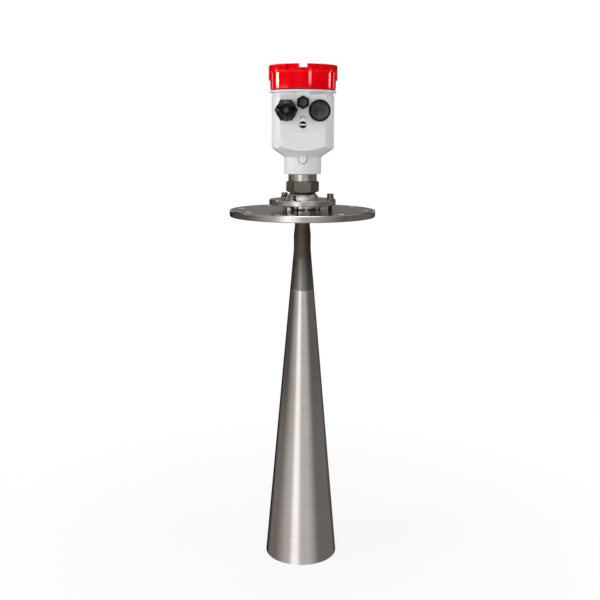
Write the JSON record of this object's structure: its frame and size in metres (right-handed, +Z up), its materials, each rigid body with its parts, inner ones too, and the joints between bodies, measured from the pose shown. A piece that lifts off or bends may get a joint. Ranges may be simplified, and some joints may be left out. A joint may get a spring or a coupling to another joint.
{
  "type": "radar level transmitter",
  "caption": "Non-contact radar level transmitter: long horn antenna on a swivelling ball flange, round plastic housing with screw lid, cable gland, blind plug and ground terminal.",
  "frame": {"origin": "centre of the process flange's sealing face (its underside)", "axes": "+Z up along the instrument from the flange to the lid, the horn hangs towards -Z, the cable entries and the ground terminal face -Y, +X to the right of someone who looks at the entries"},
  "size_m": [0.185, 0.185, 0.6425],
  "materials": {
    "flange_steel": "turned stainless steel",
    "clamp_steel": "turned stainless steel",
    "screw_steel": "plain stainless steel",
    "ball_steel": "fine turned stainless steel",
    "neck_steel": "turned stainless steel",
    "throat_steel": "dark turned stainless steel",
    "horn_steel": "rolled and brushed stainless sheet",
    "white_ptfe": "waxy white",
    "black_rubber": "matt",
    "waveguide_brass": "machined",
    "module_black": "moulded, matt",
    "housing_grey": "moulded, satin",
    "gland_black": "moulded, half gloss",
    "plug_black": "moulded, matt",
    "board_green": "lacquered board",
    "terminal_grey": "moulded, matt",
    "lid_red": "moulded, glossy"
  },
  "bodies": {
    "flange": {"process_flange": "flange_steel", "clamp_plate": "clamp_steel", "clamp_screws": "screw_steel", "clamp_washers": "screw_steel"},
    "seat_ring": {"swivel_seal": "white_ptfe"},
    "antenna": {"swivel_ball": "ball_steel", "hex_adapter": "neck_steel", "neck_tube": "neck_steel", "neck_seal": "black_rubber", "neck_circlip": "screw_steel", "waveguide": "waveguide_brass", "rf_module": "module_black", "rf_connector": "waveguide_brass", "horn_throat": "throat_steel", "throat_seal": "black_rubber", "feed_cone": "white_ptfe", "horn_cone": "horn_steel"},
    "head": {"housing": "housing_grey", "stop_pin": "screw_steel", "ground_screw": "screw_steel", "ground_washer": "screw_steel", "gland_body": "gland_black", "gland_gasket": "black_rubber", "gland_seal": "black_rubber", "gland_stopper": "gland_black", "blind_plug": "plug_black", "blind_plug_gasket": "black_rubber", "breather": "plug_black", "breather_membrane": "white_ptfe", "breather_gasket": "black_rubber", "electronics_module": "module_black", "module_screws": "screw_steel", "circuit_board": "board_green", "terminal_block": "terminal_grey", "terminal_screws": "screw_steel"},
    "gland_cap": {"gland_nut": "gland_black"},
    "lid_ring": {"lid_seal": "black_rubber"},
    "cover": {"lid": "lid_red"}
  },
  "joints": [
    {"name": "swivel_turn", "type": "hinge", "parent": "flange", "child": "seat_ring", "pos_m": [0, 0, 0.01125], "axis": [0, 0, 1], "range_deg": [-180, 180]},
    {"name": "swivel_tilt", "type": "hinge", "parent": "seat_ring", "child": "antenna", "pos_m": [0, 0, 0.01125], "axis": [1, 0, 0], "range_deg": [-15, 15]},
    {"name": "housing_turn", "type": "hinge", "parent": "antenna", "child": "head", "pos_m": [0, 0, 0.07], "axis": [0, 0, 1], "range_deg": [-165, 165]},
    {"name": "gland_nut_turn", "type": "hinge", "parent": "head", "child": "gland_cap", "pos_m": [-0.02, -0.055, 0.13], "axis": [0, -1, 0], "continuous": true},
    {"name": "lid_lift", "type": "slide", "parent": "head", "child": "lid_ring", "axis": [0, 0, 1], "range_m": [0, 0.04]},
    {"name": "lid_turn", "type": "hinge", "parent": "lid_ring", "child": "cover", "pos_m": [0, 0, 0.17], "axis": [0, 0, 1], "continuous": true}
  ]
}
